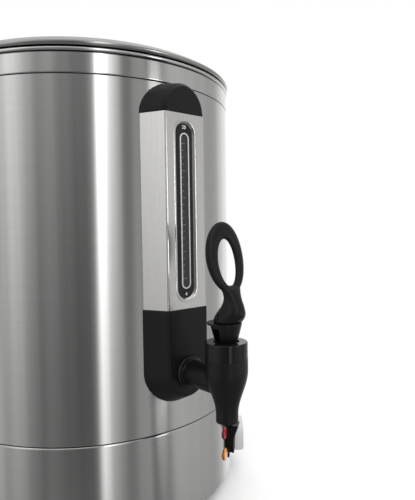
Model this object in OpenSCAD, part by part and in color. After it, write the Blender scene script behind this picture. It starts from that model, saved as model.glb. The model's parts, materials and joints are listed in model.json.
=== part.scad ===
// Hot water urn with a gauge column, a self-closing tap and a lift-off lid.
// The origin lies on the drum axis in the plane under the feet, the tap faces -Y, Z points up.

/* [Vessel] */
// Outer diameter of the drum
body_d = 300; // [296:1:310]
// Sheet thickness of the drum
shell_t = 1; // [0.8:0.1:1.2]
// Height of the upper edge of the drum
body_top = 407; // [402:1:420]
// Height of the rim collar
collar_h = 18.2; // [16:0.2:20]
// Radial gap between tank and drum
jacket_gap = 5; // [4.6:0.1:6]
// Wall of the inner tank
tank_t = 1.2; // [1:0.1:1.4]

/* [Lid] */
// Rise of the lid dome
lid_rise = 15; // [10:1:20]
// Radius of the lid knob
lid_knob_r = 20; // [16:1:24]
// Height of the lid knob
lid_knob_h = 31; // [27:1:36]

/* [Base] */
// Height of the upper edge of the base skirt
skirt_top = 96.7; // [94:0.1:98]
// Height of the feet
foot_h = 12; // [11:0.5:16]
// Radius of a foot at its top
foot_r = 14; // [12:0.5:16]
// Distance of the feet from the drum axis
foot_pitch_r = 115; // [100:1:120]

/* [Heating] */
// Radius of the element ring
element_ring_r = 95; // [85:1:100]
// Radius of the element tube
element_r = 4; // [3.5:0.1:4.5]
// Height of the element above the tank floor
element_lift = 16.8; // [15:0.2:22]

/* [Controls] */
// Bearing of the two lamps
lamp_az = 32; // [29:0.5:32]
// Bearing of the rocker switch
rocker_az = 40; // [39.5:0.5:40.5]
// Bearing of the thermostat knob
knob_az = 52; // [52:0.5:56]
// Radius of the thermostat knob
knob_r = 19; // [15:0.5:19]
// Height of the front face of the knob above the skirt
knob_h = 15.5; // [12:0.1:18]

/* [Gauge] */
// Depth of the gauge column in front of the drum
col_depth = 18.7; // [18.5:0.1:20]
// Half width of the column at its front face
col_front_hw = 20.7; // [20:0.1:22]
// Half width of the column at the drum
col_foot_hw = 31.6; // [30:0.1:33]
// Radius of the sight tube
tube_r = 5; // [4.5:0.1:5.2]

/* [Tap] */
// Distance of the tap axis in front of the drum
tap_reach = 67.5; // [62:0.5:72]
// Height of the tap tail axis
tail_z = 154; // [152:0.5:156]
// Radius of the tap tail
tail_r = 11; // [10:0.1:11.2]
// Radius of the tap body
tap_r = 17.35; // [17:0.05:18]
// Radius of the spout
spout_r = 9.1; // [8.5:0.05:9.5]
// Lift of the stem per radian of lever turn
cam_lift = 9; // [7.5:0.1:9.2]
// Turn of the open lever
lever_open = 35; // [25:1:35]

/* [Handles] */
// Distance of the side handles below the upper edge of the drum
handle_drop = 57; // [47:1:77]
// Bearing of the side handles from the front
handle_az = 105; // [100:1:120]
// Reach of the handles from the drum
handle_out = 42; // [38:1:48]

/* [Hidden] */
$fn = 96;

// Clearances: seating gap between faces, hole clearance, running clearance, cutter overrun
seat = 0.3;
hole_gap = 0.2;
run = 0.05;
eps = 1;

// Vessel
body_r = body_d / 2;
shell_in = body_r - shell_t;
shell_bottom = skirt_top + seat;
tank_out = shell_in - jacket_gap;
tank_in = tank_out - tank_t;
tank_floor_z = skirt_top + 7.3;
tank_floor_top = tank_floor_z + tank_t;
collar_out = body_r + 0.4;
collar_z = body_top + seat;
rim_z = body_top + 18.5 + (collar_h - 18.2);
bead_r = 1.6;
bead_z = rim_z + bead_r;

// Lid
lid_z = rim_z + 2 * bead_r + seat;
lid_edge_r = 2.4;
lid_edge_gap = 0.9;
lid_edge_out = collar_out + 2;
lid_edge_z = lid_z + lid_edge_gap + lid_edge_r;
lid_lip_out = tank_in - 0.5;
lid_lip_in = lid_lip_out - 1;
lid_dome_r = lid_lip_in - 1.3;
lid_t = 1.1;
lid_top = lid_edge_z + lid_edge_r - 0.4 + lid_rise;
lid_ball_r = (lid_dome_r * lid_dome_r + lid_rise * lid_rise) / (2 * lid_rise);
lid_screw_r = 2;

// Base
plate_t = 1.4;
plate_top = foot_h + plate_t;
skirt_t = 1.2;
skirt_in = body_r - skirt_t;
skirt_flange_in = body_r - 12;
skirt_flange_t = 1.2;
plate_r = body_r - 3.5;
screw_r = 2;
base_screw_pitch_r = body_r - 9;
seam_screw_pitch_r = body_r - 7.5;
foot_head_z = 5;

// Heating
element_z = tank_floor_top + element_lift;
elbow_r = 10;
element_gap = 20;
bush_r = 7;
bush_seal_t = 2;
bush_head_r = 10;
cutout_x = -45;
cutout_r = 13;
cutout_top = tank_floor_z - seat;
reset_r = 2.5;

// Controls, heights taken from the skirt
ctrl_z = 46.5;
knob_z = ctrl_z - 5.5;
rocker_z = ctrl_z + 5;
red_z = ctrl_z + 16;
amber_z = ctrl_z - 6.5;
lens_r = 6.25;
lens_h = 1.8;
lens_round = 1.4;
lamp_r = 5.5;
shaft_r = 3;
boss_r = 5;
thermo_half = 15;
thermo_front = -2.8;
thermo_depth = 26;
rocker_hw = 7.2;
rocker_hl = 15;
rocker_end = 10.1;
rocker_recess_hl = rocker_hl + 0.9;
rocker_body_hl = rocker_hl + 2.2;
rocker_frame_hl = rocker_hl + 4.8;
rocker_tilt = 10;
rocker_pivot = -0.5;
rocker_frame_t = 2;
bulb_r = 3;
wire_r = 1;

// Gauge
col_t = 1;
col_front = body_r + col_depth;
col_bottom = tail_z + 55.8;
col_top = body_top - 28.8;
col_foot = sqrt(body_r * body_r - col_foot_hw * col_foot_hw);
slot_hw = 10.6;
slot_in_hw = 8.8;
slot_z0 = col_bottom + 7.3;
slot_z1 = col_top - 6.3;
lip_depth = 1.8;
plate_gap = 0.1;
plate_hw = slot_in_hw - plate_gap;
trim_hw = 4.8;
glass_hw = 3.7;
trim_z0 = col_bottom + 17.2;
trim_z1 = col_top - 16.2;
plate_front = col_front - 1.6;
plate_back = col_front - 4.4;
// How far cap and housing stand proud of the column
cap_lip = 1;
socket_r = 7.6;
tube_seal_r = 6.7;
tube_y = -(body_r + 8.2);
vent_z = body_top - 20;
vent_r = 5;
tube_top = vent_z - 5.5;
tube_bottom = tail_z + 18;

// Tap
tap_y = -(body_r + tap_reach);
tap_bore_r = 7;
spout_z = tail_z - 30;
seat_z = tail_z - 5;
outlet_r = 6;
chamber_r = 11;
body_top_z = tail_z + 21.5;
bowl_z0 = spout_z + 6;
bowl_z1 = tail_z + 12.5;
neck_r = 14;
neck_h = 5.5;
bonnet_top = body_top_z + 13.5;
bonnet_under = bonnet_top - 5;
bonnet_r = tap_r - 0.15;
saddle_z = bonnet_top - 2.2;
saddle_top = saddle_z + 17.5;
saddle_r = 8.4;
cup_flare = 4.4;
flange_t = 1.3;
stem_r = 4;
pin_r = 1.5;
pin_z = saddle_top + 6;
seal_r = 8;
seal_t = 3;
holder_t = 3.5;
spring_r = 6.5;
spring_wire_r = 0.6;
spring_turns = 7;
saddle_gap_z = pin_z - saddle_top - seat;
nut_r = 18;
washer_r = 16;

// Handles
handle_z = body_top - handle_drop;
handle_hw = 42;
handle_h = 22;
finger_hw = 28;
finger_in = 8;
finger_out = handle_out - 13;
handle_screw_az = asin(35 / body_r);

function arc(cx, cy, r, a0, a1, n = 6) =
  [for (i = [0:n]) let (a = a0 + (a1 - a0) * i / n) [cx + r * cos(a), cy + r * sin(a)]];
function flip(p) = [for (i = [len(p) - 1:-1:0]) [-p[i][0], p[i][1]]];

// Local X runs along the drum's surface, local Y up, local Z outwards from the drum's surface
module on_drum(az, z) {
  rotate([0, 0, az]) translate([0, -body_r, z]) rotate([90, 0, 0]) children();
}

// Plain cylinder along Y between two distances in front of the drum axis
module front_rod(r, out0, out1, z) {
  translate([0, -out0, z]) rotate([90, 0, 0]) cylinder(r = r, h = out1 - out0);
}

// Round-ended upright block: half width, lower and upper end, nearer and farther distance from the axis
module stadium(hw, z0, z1, out0, out1) {
  translate([-hw, -out1, z0 + hw]) cube([2 * hw, out1 - out0, z1 - z0 - 2 * hw]);
  translate([0, -out1, z0 + hw]) rotate([-90, 0, 0])
    rotate_extrude(angle = 180) square([hw, out1 - out0]);
  translate([0, -out1, z1 - hw]) rotate([-90, 0, 0]) rotate([0, 0, 180])
    rotate_extrude(angle = 180) square([hw, out1 - out0]);
}

// The same outline carried by a wall profile given as points (distance from centre line, y)
module stadium_ring(profile, hw, z0, z1) {
  translate([0, 0, z0 + hw]) linear_extrude(z1 - z0 - 2 * hw) polygon(profile);
  translate([0, 0, z0 + hw]) linear_extrude(z1 - z0 - 2 * hw) polygon(flip(profile));
  translate([0, 0, z0 + hw]) rotate([-90, 0, 0]) rotate_extrude(angle = 180) polygon(profile);
  translate([0, 0, z1 - hw]) rotate([-90, 0, 0]) rotate([0, 0, 180])
    rotate_extrude(angle = 180) polygon(profile);
}

module ring_of(n, r, first = 0) {
  for (i = [0:n - 1]) rotate([0, 0, first + i * 360 / n]) translate([r, 0, 0]) children();
}

// Drum sheet with an inward foot flange and holes for tap tail, vent and handle screws
module body_shell() color([0.75, 0.75, 0.74]) difference() {
  rotate_extrude() polygon([[body_r, shell_bottom], [body_r, body_top], [shell_in, body_top],
    [shell_in, shell_bottom + shell_t], [body_r - 11, shell_bottom + shell_t], [body_r - 11, shell_bottom]]);
  front_rod(tail_r + hole_gap, shell_in - 4, body_r + 2, tail_z);
  front_rod(vent_r + hole_gap, shell_in - 4, body_r + 2, vent_z);
  ring_of(4, seam_screw_pitch_r) translate([0, 0, shell_bottom - eps])
    cylinder(r = screw_r + hole_gap, h = shell_t + 2 * eps);
  handle_screw_places() translate([0, 0, -shell_t - eps])
    cylinder(r = screw_r + hole_gap, h = shell_t + 2 * eps);
}

// Rim collar with a rounded lower edge and a spigot inside the drum
module rim_collar() color([0.77, 0.77, 0.76])
  rotate_extrude() polygon(concat([[shell_in - 1.6, body_top - 12], [shell_in - seat, body_top - 12],
    [shell_in - seat, collar_z]], arc(collar_out - 1.5, collar_z + 1.5, 1.5, -90, 0),
    [[collar_out, rim_z], [shell_in - 1.6, rim_z]]));

// Inner tank with a rounded floor corner and a rolled rim
module inner_tank() color([0.8, 0.8, 0.79]) difference() {
  rotate_extrude() polygon(concat([[0, tank_floor_z]],
    arc(tank_out - 6, tank_floor_z + 6, 6, -90, 0), [[tank_out, rim_z]],
    arc(body_r, bead_z, bead_r, -90, 194, 16), [[tank_in, rim_z + tank_t]],
    arc(tank_in - 4.8, tank_floor_top + 4.8, 4.8, 0, -90), [[0, tank_floor_top]]));
  front_rod(tail_r + hole_gap, tank_in - 8, tank_out + 4, tail_z);
  front_rod(vent_r + hole_gap, tank_in - 4, tank_out + 4, vent_z);
  element_legs() translate([0, 0, tank_floor_z - eps]) cylinder(r = bush_r + hole_gap, h = tank_t + 2 * eps);
}

// Lid with a rolled edge, a locating lip, a low dome and a steam hole
module lid_shell() color([0.72, 0.72, 0.71]) difference() {
  rotate_extrude() polygon(concat(
    [for (i = [0:12]) let (r = lid_screw_r + hole_gap + (lid_dome_r - 2.2) * i / 12)
      [r, lid_top - lid_ball_r + sqrt(lid_ball_r * lid_ball_r - r * r)]],
    arc(lid_edge_out - lid_edge_r, lid_edge_z, lid_edge_r, 90, -90, 10),
    [[body_r - 0.8, lid_z + lid_edge_gap], [body_r - 0.8, lid_z], [lid_lip_out, lid_z],
    [lid_lip_out, lid_z - 11], [lid_lip_in, lid_z - 11], [lid_lip_in, lid_z + 1.4]],
    [for (i = [12:-1:0]) let (r = lid_screw_r + hole_gap + (lid_dome_r - 2.2) * i / 12)
      [r, lid_top - lid_t - lid_ball_r + sqrt(lid_ball_r * lid_ball_r - r * r)]]));
  translate([0, 105, lid_z - eps]) cylinder(r = 2.5, h = lid_rise + 6);
}

module lid_knob() color([0.04, 0.04, 0.04]) difference() {
  translate([0, 0, lid_top]) rotate_extrude() polygon(concat([[0, 0], [lid_knob_r * 0.55, 0],
    [lid_knob_r * 0.5, 2], [lid_knob_r * 0.48, lid_knob_h * 0.22]],
    arc(lid_knob_r - 4, lid_knob_h * 0.5, 4, -80, 0), arc(lid_knob_r - 8, lid_knob_h - 8, 8, 0, 80),
    [[0, lid_knob_h]]));
  translate([0, 0, lid_top - eps]) cylinder(r = lid_screw_r + run, h = 16 + eps);
}

module lid_screw() color([0.6, 0.6, 0.6]) {
  translate([0, 0, lid_top - lid_t - 2.6]) cylinder(r = 4.5, h = 2.5);
  translate([0, 0, lid_top - lid_t - 0.1]) cylinder(r = lid_screw_r, h = 15);
}

// Base skirt with rolled edges and openings for the controls and the cable gland
module base_skirt() color([0.74, 0.74, 0.73]) difference() {
  rotate_extrude() polygon(concat(arc(body_r - 2, skirt_top - 2, 2, 0, 90),
    [[skirt_flange_in, skirt_top], [skirt_flange_in, skirt_top - skirt_flange_t],
    [skirt_in, skirt_top - skirt_flange_t], [skirt_in, plate_top + seat + skirt_flange_t],
    [skirt_flange_in, plate_top + seat + skirt_flange_t], [skirt_flange_in, plate_top + seat]],
    arc(body_r - 1, plate_top + seat + 1, 1, -90, 0, 4)));
  on_drum(lamp_az, red_z) translate([0, 0, -6]) cylinder(r = lamp_r + hole_gap, h = 8);
  on_drum(lamp_az, amber_z) translate([0, 0, -6]) cylinder(r = lamp_r + hole_gap, h = 8);
  on_drum(rocker_az, rocker_z) translate([-9.7, -rocker_body_hl - hole_gap, -6])
    cube([19.4, 2 * (rocker_body_hl + hole_gap), 8]);
  on_drum(knob_az, knob_z) translate([0, 0, -6]) cylinder(r = boss_r + hole_gap, h = 8);
  on_drum(180, 40) translate([0, 0, -6]) cylinder(r = 7.5 + hole_gap, h = 8);
  ring_of(4, base_screw_pitch_r) translate([0, 0, plate_top - eps])
    cylinder(r = 1.5 + run, h = seat + skirt_flange_t + 2 * eps);
  ring_of(4, seam_screw_pitch_r) translate([0, 0, skirt_top - skirt_flange_t - eps])
    cylinder(r = screw_r + hole_gap, h = skirt_flange_t + 2 * eps);
}

// Base plate with vent slots, screw holes and a hole below the reset button
module base_plate() color([0.55, 0.55, 0.54]) difference() {
  translate([0, 0, foot_h]) cylinder(r = plate_r, h = plate_t);
  for (i = [-3:3]) translate([45 + i * 9 - 2, -30, foot_h - eps]) cube([4, 60, plate_t + 2 * eps]);
  ring_of(4, foot_pitch_r, 45) translate([0, 0, foot_h - eps])
    cylinder(r = screw_r + hole_gap, h = plate_t + 2 * eps);
  ring_of(4, base_screw_pitch_r) translate([0, 0, foot_h - eps])
    cylinder(r = 1.5 + hole_gap, h = plate_t + 2 * eps);
  translate([cutout_x, 0, foot_h - eps]) cylinder(r = 5, h = plate_t + 2 * eps);
}

module feet() color([0.05, 0.05, 0.05]) ring_of(4, foot_pitch_r, 45) difference() {
  cylinder(r1 = foot_r - 2, r2 = foot_r, h = foot_h);
  translate([0, 0, -eps]) cylinder(r = 5, h = foot_head_z + eps);
  cylinder(r = screw_r + hole_gap, h = foot_h + eps);
}

module foot_screws() color([0.6, 0.6, 0.6]) ring_of(4, foot_pitch_r, 45) {
  translate([0, 0, foot_head_z - 2.8]) cylinder(r = 4.3, h = 2.8);
  translate([0, 0, foot_head_z]) cylinder(r = screw_r, h = foot_h + 1);
}

module foot_nuts() color([0.6, 0.6, 0.6]) ring_of(4, foot_pitch_r, 45) difference() {
  translate([0, 0, plate_top]) cylinder(r = 4.04, h = 3.2, $fn = 6);
  translate([0, 0, plate_top - eps]) cylinder(r = screw_r + run, h = 3.2 + 2 * eps);
}

module base_screws() color([0.6, 0.6, 0.6]) ring_of(4, base_screw_pitch_r) {
  translate([0, 0, foot_h - 2.2]) cylinder(r = 3.2, h = 2.2);
  translate([0, 0, foot_h]) cylinder(r = 1.5, h = 9);
}

module seam_screws() color([0.6, 0.6, 0.6]) ring_of(4, seam_screw_pitch_r) {
  translate([0, 0, skirt_top - skirt_flange_t - 2.6]) cylinder(r = 3.8, h = 2.6);
  translate([0, 0, skirt_top - skirt_flange_t]) cylinder(r = screw_r, h = 6);
}

// Places of the two element legs in the tank floor
module element_legs() {
  for (s = [-1, 1]) rotate([0, 0, 90 + s * element_gap]) translate([element_ring_r, -s * elbow_r, 0]) children();
}

// Immersed ring of two halves joined by a sleeve, each with an elbow, a leg and a cold pin
module element_half() {
  rotate([0, 0, 90 + element_gap]) {
    translate([0, 0, element_z]) rotate_extrude(angle = 179.4 - element_gap)
      translate([element_ring_r, 0]) circle(r = element_r);
    translate([element_ring_r, 0, element_z - elbow_r]) rotate([90, 0, 90]) rotate([0, 0, 90])
      rotate_extrude(angle = 90) translate([elbow_r, 0]) circle(r = element_r);
    translate([element_ring_r, -elbow_r, tank_floor_z - 12])
      cylinder(r = element_r, h = element_z - elbow_r - tank_floor_z + 12);
    translate([element_ring_r, -elbow_r, tank_floor_z - 21]) cylinder(r = 2, h = 9);
  }
}
module heating_element() color([0.62, 0.6, 0.57]) {
  element_half();
  mirror([1, 0, 0]) element_half();
  translate([-5, -element_ring_r, element_z]) rotate([0, 90, 0]) cylinder(r = element_r + 1, h = 10);
}

module element_bushes() color([0.7, 0.55, 0.3]) element_legs() difference() {
  union() {
    translate([0, 0, tank_floor_z - 9]) cylinder(r = bush_r, h = tank_t + bush_seal_t + 9);
    translate([0, 0, tank_floor_top + bush_seal_t]) cylinder(r = bush_head_r, h = 2.6);
  }
  translate([0, 0, tank_floor_z - 10]) cylinder(r = element_r + run, h = 20);
}

module element_seals() color([0.5, 0.12, 0.1]) element_legs() difference() {
  translate([0, 0, tank_floor_top]) cylinder(r = bush_head_r, h = bush_seal_t);
  translate([0, 0, tank_floor_top - eps]) cylinder(r = bush_r + run, h = bush_seal_t + 2 * eps);
}

module element_nuts() color([0.7, 0.55, 0.3]) element_legs() difference() {
  translate([0, 0, tank_floor_z - 4.5]) cylinder(r = 11, h = 4.5, $fn = 6);
  translate([0, 0, tank_floor_z - 4.5 - eps]) cylinder(r = bush_r + run, h = 4.5 + 2 * eps);
}

// Cut-out below the tank floor with its reset button
module thermal_cutout() color([0.12, 0.12, 0.12]) difference() {
  union() {
    translate([cutout_x, 0, cutout_top - 1.6]) cylinder(r = cutout_r + 3, h = 1.6);
    translate([cutout_x, 0, cutout_top - 11]) cylinder(r = cutout_r, h = 9.4);
  }
  translate([cutout_x, 0, cutout_top - 11 - eps]) cylinder(r = reset_r + run, h = 7 + eps);
}

module reset_button() color([0.7, 0.08, 0.06])
  translate([cutout_x, 0, cutout_top - 14]) cylinder(r = reset_r, h = 8);

// Thermostat behind the skirt with a threaded boss through it
module thermostat() color([0.15, 0.15, 0.15]) on_drum(knob_az, knob_z) difference() {
  union() {
    translate([-thermo_half, -thermo_half, thermo_front - thermo_depth])
      cube([2 * thermo_half, 2 * thermo_half, thermo_depth]);
    translate([0, 0, thermo_front]) cylinder(r = boss_r, h = 4 - thermo_front);
  }
  translate([0, 0, -18]) cylinder(r = shaft_r + run, h = 30);
}

module thermostat_nut() color([0.7, 0.55, 0.3]) on_drum(knob_az, knob_z) difference() {
  translate([0, 0, 0.2]) cylinder(r = 7.5, h = 2.6, $fn = 6);
  cylinder(r = boss_r + run, h = 4);
}

module thermostat_shaft() color([0.6, 0.6, 0.6]) on_drum(knob_az, knob_z)
  translate([0, 0, -16]) cylinder(r = shaft_r, h = 16 + knob_h - 3.3);

module thermostat_knob() color([0.7, 0.7, 0.7]) on_drum(knob_az, knob_z) difference() {
  rotate_extrude() polygon(concat([[0, 1], [knob_r, 1], [knob_r, knob_h - 2.6], [knob_r - 0.4, knob_h - 2.4],
    [knob_r - 0.4, knob_h - 2]], arc(knob_r - 1, knob_h - 0.8, 0.8, 0, 90), [[0, knob_h]]));
  cylinder(r = 9.5, h = 4.6);
  translate([0, 0, 2]) cylinder(r = shaft_r + run, h = knob_h - 5);
  translate([-0.8, 3, knob_h - 0.8]) cube([1.6, knob_r, 2]);
}

// Sensing bulb under the tank floor and its capillary down to the thermostat
module thermostat_bulb() color([0.7, 0.45, 0.3]) rotate([0, 0, knob_az]) {
  bz = tank_floor_z - bulb_r - 0.1;
  tr = body_r + thermo_front - thermo_depth;
  dr = tr - 13;
  translate([0, -30, bz]) rotate([90, 0, 0]) cylinder(r = bulb_r, h = 60);
  translate([0, -90, bz]) rotate([90, 0, 0]) cylinder(r = wire_r, h = dr - 98);
  translate([0, 8 - dr, bz - 8]) rotate([90, 0, -90])
    rotate_extrude(angle = 90) translate([8, 0]) circle(r = wire_r);
  translate([0, -dr, knob_z + 8]) cylinder(r = wire_r, h = bz - 16 - knob_z);
  translate([0, -8 - dr, knob_z + 8]) rotate([90, 0, -90]) rotate([0, 0, 180])
    rotate_extrude(angle = 90) translate([8, 0]) circle(r = wire_r);
  translate([0, -8 - dr, knob_z]) rotate([90, 0, 0]) cylinder(r = wire_r, h = 5 - 0.1);
}

module bulb_clip() color([0.65, 0.65, 0.65]) rotate([0, 0, knob_az]) difference() {
  union() {
    translate([-10, -65, tank_floor_z - 1.1]) cube([20, 10, 1]);
    translate([0, -55, tank_floor_z - bulb_r - 0.1]) rotate([90, 0, 0]) cylinder(r = bulb_r + 1.2, h = 10);
  }
  translate([0, -54, tank_floor_z - bulb_r - 0.1]) rotate([90, 0, 0]) cylinder(r = bulb_r + run, h = 12);
  translate([-11, -66, tank_floor_z - 0.1]) cube([22, 12, 3]);
}

// Switch frame and body with a recess for the rocker
module rocker_housing() color([0.05, 0.05, 0.05]) on_drum(rocker_az, rocker_z) difference() {
  union() {
    translate([-11, -rocker_frame_hl, 0.2]) cube([22, 2 * rocker_frame_hl, rocker_frame_t]);
    translate([-9.5, -rocker_body_hl, -22]) cube([19, 2 * rocker_body_hl, 22.2]);
  }
  translate([-rocker_hw - 0.4, -rocker_recess_hl, -7]) cube([2 * rocker_hw + 0.8, 2 * rocker_recess_hl, 12]);
  translate([0, 0, rocker_pivot]) rotate([0, 90, 0])
    cylinder(r = pin_r + run, h = 2 * rocker_hw + 3, center = true);
}

module rocker() color([0.06, 0.06, 0.06]) on_drum(rocker_az, rocker_z)
  translate([0, 0, rocker_pivot]) rotate([rocker_tilt, 0, 0]) {
  translate([-rocker_hw, 0, 0]) rotate([90, 0, 90]) linear_extrude(2 * rocker_hw)
    polygon([[-rocker_hl, rocker_end], [-rocker_hl + 0.5, 3], [-4, -3], [4, -3], [rocker_hl - 0.5, 3],
      [rocker_hl, rocker_end], [0, rocker_end - rocker_hl * tan(rocker_tilt)]]);
  rotate([0, 90, 0]) cylinder(r = pin_r, h = 2 * rocker_hw + 2.4, center = true);
}

module lamp_holders() color([0.1, 0.1, 0.1]) for (z = [red_z, amber_z]) on_drum(lamp_az, z) difference() {
  union() {
    translate([0, 0, -22]) cylinder(r = lamp_r, h = 22.2);
    translate([0, 0, -3.3]) cylinder(r = lamp_r + 2, h = 1.6);
  }
  translate([0, 0, -10]) cylinder(r = lamp_r - 1.3, h = 12);
}

module lens(z) on_drum(lamp_az, z) rotate_extrude() polygon(concat([[0, -8], [lamp_r - 1.4, -8],
  [lamp_r - 1.4, 0.3], [lens_r, 0.3]], arc(lens_r - lens_round, lens_h - lens_round, lens_round, 0, 80),
  [[0, lens_h]]));
module red_lens() color([0.8, 0.05, 0.03]) lens(red_z);
module amber_lens() color([0.95, 0.55, 0.1]) lens(amber_z);

module terminal_block() color([0.85, 0.84, 0.8]) difference() {
  translate([-22, 86, plate_top]) cube([44, 18, 16]);
  for (i = [-1:1]) {
    translate([i * 13, 85, plate_top + 7]) rotate([-90, 0, 0]) cylinder(r = 2.2, h = 20);
    translate([i * 13, 95, plate_top + 10]) cylinder(r = 2.6, h = 8);
  }
}

module cable_gland() color([0.06, 0.06, 0.06]) on_drum(180, 40) difference() {
  union() {
    translate([0, 0, -14]) cylinder(r = 7.5, h = 14.5);
    translate([0, 0, 0.3]) cylinder(r = 10.5, h = 5, $fn = 6);
    translate([0, 0, 5.3]) cylinder(r1 = 9, r2 = 7, h = 12);
  }
  translate([0, 0, -15]) cylinder(r = 4, h = 34);
}

module gland_nut() color([0.06, 0.06, 0.06]) on_drum(180, 40) difference() {
  translate([0, 0, -6.8]) cylinder(r = 11, h = 5, $fn = 6);
  translate([0, 0, -8]) cylinder(r = 7.5 + run, h = 8);
}

// Gauge section: half width at a distance from the axis, and the half outline with a rounded front corner
col_slope = (col_foot_hw - col_front_hw) / (col_front - col_foot);
col_na = atan(col_slope);
col_rc = 1.8;
function col_hw(o) = col_front_hw + (col_front - o) * col_slope;
function col_corner(inset) = arc(col_front_hw - col_rc * (1 - sin(col_na)) / cos(col_na), col_front - col_rc,
  col_rc - inset, col_na, 90, 5);
function col_sec(inset, o0) = concat([[0, o0], [col_hw(o0) - inset / cos(col_na), o0]],
  inset < col_rc ? col_corner(inset) : [[col_hw(col_front - inset) - inset / cos(col_na), col_front - inset]],
  [[0, col_front - inset]]);

module col_prism(inset, o0, z0, z1) {
  s = col_sec(inset, o0);
  translate([0, 0, z0]) linear_extrude(z1 - z0)
    polygon(concat([for (p = s) [p[0], -p[1]]], [for (i = [len(s) - 2:-1:1]) [-s[i][0], -s[i][1]]]));
}

module col_half_cone(inset, o0, z) {
  translate([0, 0, z]) rotate([90, 0, 0]) rotate([0, 0, 180]) rotate_extrude(angle = 180)
    polygon(col_sec(inset, o0));
}

// Folded sheet column with a bevelled window slot
module gauge_column() color([0.78, 0.78, 0.77]) difference() {
  union() {
    difference() {
      col_prism(0, col_foot - 2, col_bottom, col_top);
      col_prism(col_t, col_foot - 6, col_bottom - eps, col_top + eps);
      stadium(slot_hw, slot_z0, slot_z1, col_front - 4, col_front + 2);
    }
    stadium_ring([[slot_hw, -col_front], [slot_in_hw, lip_depth - col_front],
      [slot_in_hw, lip_depth + col_t - col_front], [slot_hw, col_t - col_front]], slot_hw, slot_z0, slot_z1);
  }
  translate([0, 0, col_bottom - eps]) cylinder(r = body_r + 0.1, h = col_top - col_bottom + 2 * eps);
}

// Domed cap between two half ellipses, open below and saddled to the drum
function cap_h(o) = 24.6 + (col_front - o) * 3.8 / col_depth;
module cap_plate(o, inset, drop) {
  translate([0, -o, col_top + 0.1]) rotate([90, 0, 0]) linear_extrude(0.02)
    polygon(concat([[col_hw(o) - inset, -drop]],
      [for (i = [0:20]) [(col_hw(o) - inset) * cos(9 * i), (cap_h(o) - inset) * sin(9 * i)]],
      [[inset - col_hw(o), -drop]]));
}
module gauge_top_cap() color([0.04, 0.04, 0.04]) difference() {
  hull() {
    cap_plate(col_foot - 2, -cap_lip, 0);
    cap_plate(col_front - 3, 0.1 - cap_lip, 0);
    cap_plate(col_front + cap_lip - 0.02, 1.4, 0);
  }
  hull() {
    cap_plate(col_foot - 6, 2.4, 2);
    cap_plate(col_front - 2.4, 2.4, 2);
  }
  translate([0, 0, col_top - eps]) cylinder(r = body_r + 0.1, h = 40);
  translate([0, 0, body_top - seat]) cylinder(r = collar_out + 0.15, h = 10);
}

// Lower housing round the tap tail, open above and saddled to the drum
module gauge_bottom_housing() color([0.04, 0.04, 0.04]) difference() {
  union() {
    col_prism(-cap_lip, col_foot - 2, tail_z, col_bottom - 0.1);
    col_half_cone(-cap_lip, col_foot - 2, tail_z);
  }
  union() {
    col_prism(2, col_foot - 6, tail_z, col_bottom + eps);
    col_half_cone(2, col_foot - 6, tail_z);
  }
  front_rod(tail_r + 0.4, col_front - 6, col_front + 4, tail_z);
  translate([0, 0, tail_z - 40]) cylinder(r = body_r + 0.1, h = 110);
}

// Black scale plate held behind the bevelled slot
module gauge_plate() color([0.03, 0.03, 0.03]) difference() {
  union() {
    stadium(plate_hw, slot_z0 + slot_hw - plate_hw, slot_z1 - slot_hw + plate_hw, plate_back, plate_front);
    stadium(plate_hw + 1.6, slot_z0 + slot_hw - plate_hw - 1.6, slot_z1 - slot_hw + plate_hw + 1.6,
      plate_back, plate_back + 1.3);
  }
  stadium(glass_hw + 0.1, trim_z0 + trim_hw - glass_hw - 0.1, trim_z1 - trim_hw + glass_hw + 0.1,
    plate_back - eps, plate_front + eps);
}

module gauge_trim() color([0.7, 0.7, 0.7]) stadium_ring([[trim_hw, -plate_front], [trim_hw, -plate_front - 0.6],
  [glass_hw + 0.1, -plate_front - 0.6], [glass_hw + 0.1, -plate_front]], trim_hw, trim_z0, trim_z1);

module gauge_window() color([0.1, 0.1, 0.12]) stadium(glass_hw, trim_z0 + trim_hw - glass_hw,
  trim_z1 - trim_hw + glass_hw, plate_back + 0.4, plate_front - 0.2);

module sight_tube() color([0.8, 0.85, 0.85]) translate([0, tube_y, 0]) difference() {
  translate([0, 0, tube_bottom + 0.2]) cylinder(r = tube_r, h = tube_top - tube_bottom - 0.4);
  translate([0, 0, tube_bottom - eps]) cylinder(r = tube_r - 1.2, h = tube_top - tube_bottom + 2 * eps);
}

module tube_seals() color([0.5, 0.12, 0.1]) for (z = [tube_bottom + 6.2, vent_z - 12.8])
  translate([0, tube_y, z]) difference() {
    cylinder(r = tube_seal_r - run, h = 4.6);
    translate([0, 0, -eps]) cylinder(r = tube_r + run, h = 4.6 + 2 * eps);
  }

// Tee on the tap tail with an upright socket for the sight tube
module gauge_tee() color([0.1, 0.1, 0.1]) difference() {
  union() {
    front_rod(15, body_r + 2.7, col_front - 2.4, tail_z);
    translate([0, tube_y, tail_z]) cylinder(r = socket_r, h = 29);
  }
  front_rod(tail_r + 0.1, body_r, col_front, tail_z);
  front_rod(washer_r - 1 + seat, body_r - 3, body_r + 2.7, tail_z);
  translate([0, tube_y, tail_z]) cylinder(r = 2.5, h = 30);
  translate([0, tube_y, tube_bottom]) cylinder(r = tube_r + hole_gap, h = 30);
  translate([0, tube_y, tube_bottom + 6]) cylinder(r = tube_seal_r, h = 30);
}

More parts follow.
